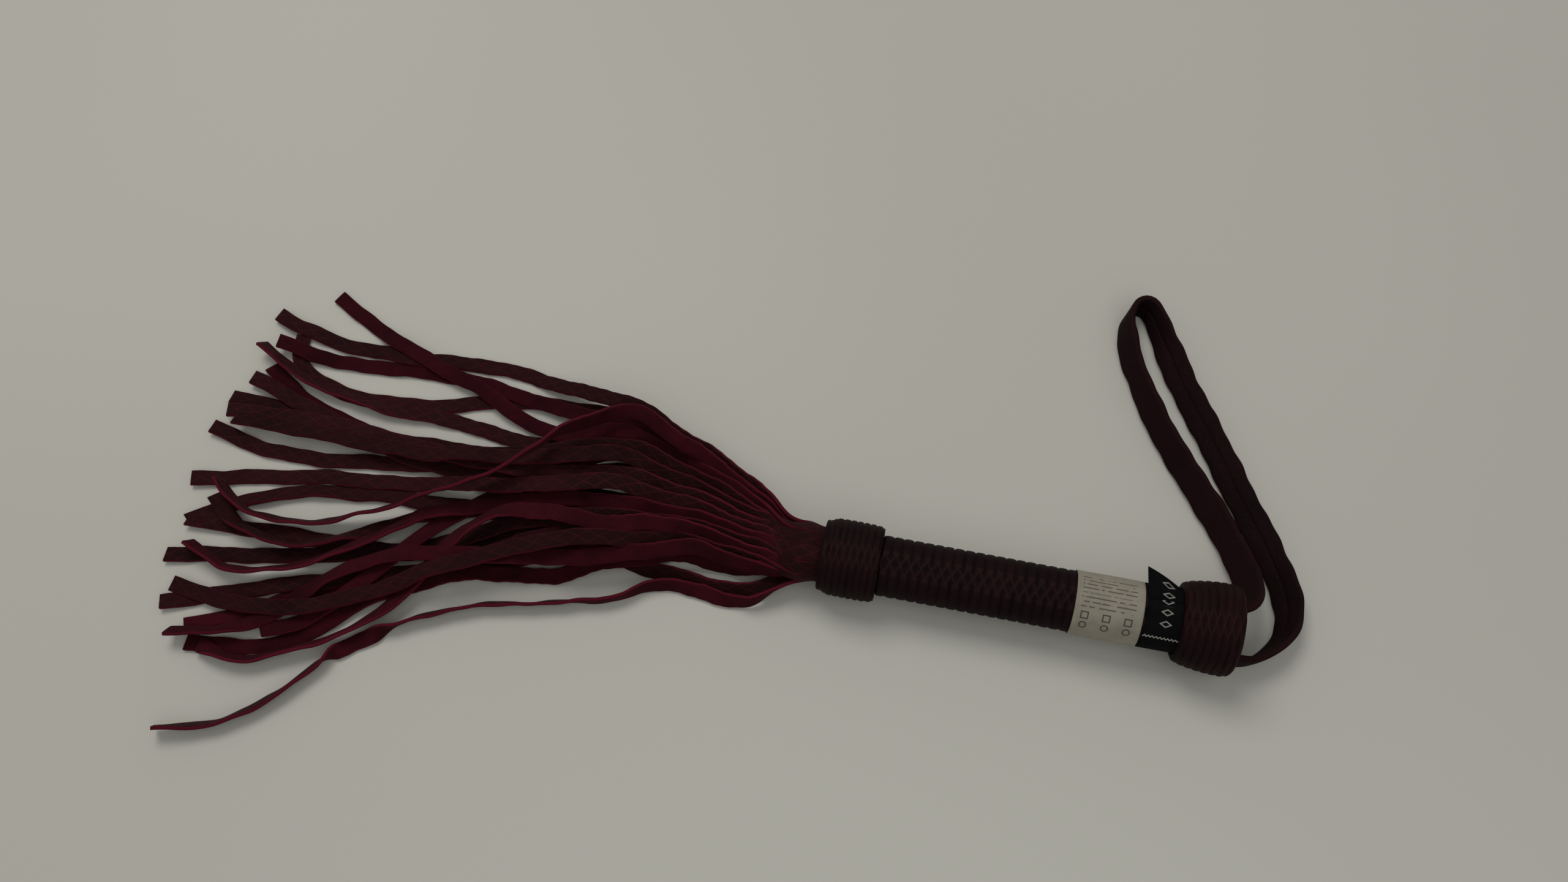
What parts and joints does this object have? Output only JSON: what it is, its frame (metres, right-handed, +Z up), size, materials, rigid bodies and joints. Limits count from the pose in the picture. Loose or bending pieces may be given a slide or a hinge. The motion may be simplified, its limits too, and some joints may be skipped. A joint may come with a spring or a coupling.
{
  "type": "many-tailed hand whip",
  "caption": "Short hand whip: plaited handle with a braided collar at each end, a folded wrist loop at the butt and a fan of soft flat tails from the front collar.",
  "frame": {"origin": "on the table under the middle of the handle, tails and wrist loop left out", "axes": "+X along the handle from the tails to the butt, +Y away from the viewer as the whip lies, +Z up"},
  "size_m": [0.4437, 0.2619, 0.0349],
  "materials": {
    "core_wood": "plain turned dowel, hidden",
    "tail_suede": "soft wine-red suede, one face dark with a faint embossed lattice, raw brighter edges",
    "binding_thread": "waxed thread, hidden",
    "collar_lace": "dark wine-brown lace, braided, matt",
    "grip_lace": "dark wine-brown lace, plaited, matt",
    "satin_tape": "white satin tape, left blank",
    "woven_tape": "black woven tape with a pale stitch line, left blank",
    "strap_leather": "dark wine strap, folded and seamed, matt"
  },
  "bodies": {
    "handle": {"handle_core": "core_wood", "tail_root_roll": "tail_suede", "root_binding": "binding_thread", "front_collar": "collar_lace", "grip_plait": "grip_lace", "care_label": "satin_tape", "woven_label": "woven_tape", "rear_collar": "collar_lace"},
    "tail_gather": {"tail_gather": "tail_suede"},
    "tails": {"tail_01": "tail_suede", "tail_02": "tail_suede", "tail_03": "tail_suede", "tail_04": "tail_suede", "tail_05": "tail_suede", "tail_06": "tail_suede", "tail_07": "tail_suede", "tail_08": "tail_suede", "tail_09": "tail_suede", "tail_10": "tail_suede", "tail_11": "tail_suede", "tail_12": "tail_suede", "tail_13": "tail_suede", "tail_14": "tail_suede", "tail_15": "tail_suede", "tail_16": "tail_suede", "tail_17": "tail_suede", "tail_18": "tail_suede", "tail_19": "tail_suede", "tail_20": "tail_suede", "tail_21": "tail_suede", "tail_22": "tail_suede", "tail_23": "tail_suede", "tail_24": "tail_suede", "tail_25": "tail_suede", "tail_26": "tail_suede"},
    "wrist_loop": {"wrist_loop": "strap_leather"}
  },
  "joints": [
    {"name": "tail_sway", "type": "hinge", "parent": "handle", "child": "tail_gather", "pos_m": [-0.0747, 0, 0.0149], "axis": [0, 0, 1], "range_deg": [-15, 15]},
    {"name": "tail_lift", "type": "hinge", "parent": "tail_gather", "child": "tails", "pos_m": [-0.092, 0, 0.008], "axis": [0, 1, 0], "range_deg": [0, 90]},
    {"name": "loop_lift", "type": "hinge", "parent": "handle", "child": "wrist_loop", "pos_m": [0.082, -0.008, 0.008], "axis": [0.9507, 0.3102, 0], "range_deg": [0, 140]}
  ]
}
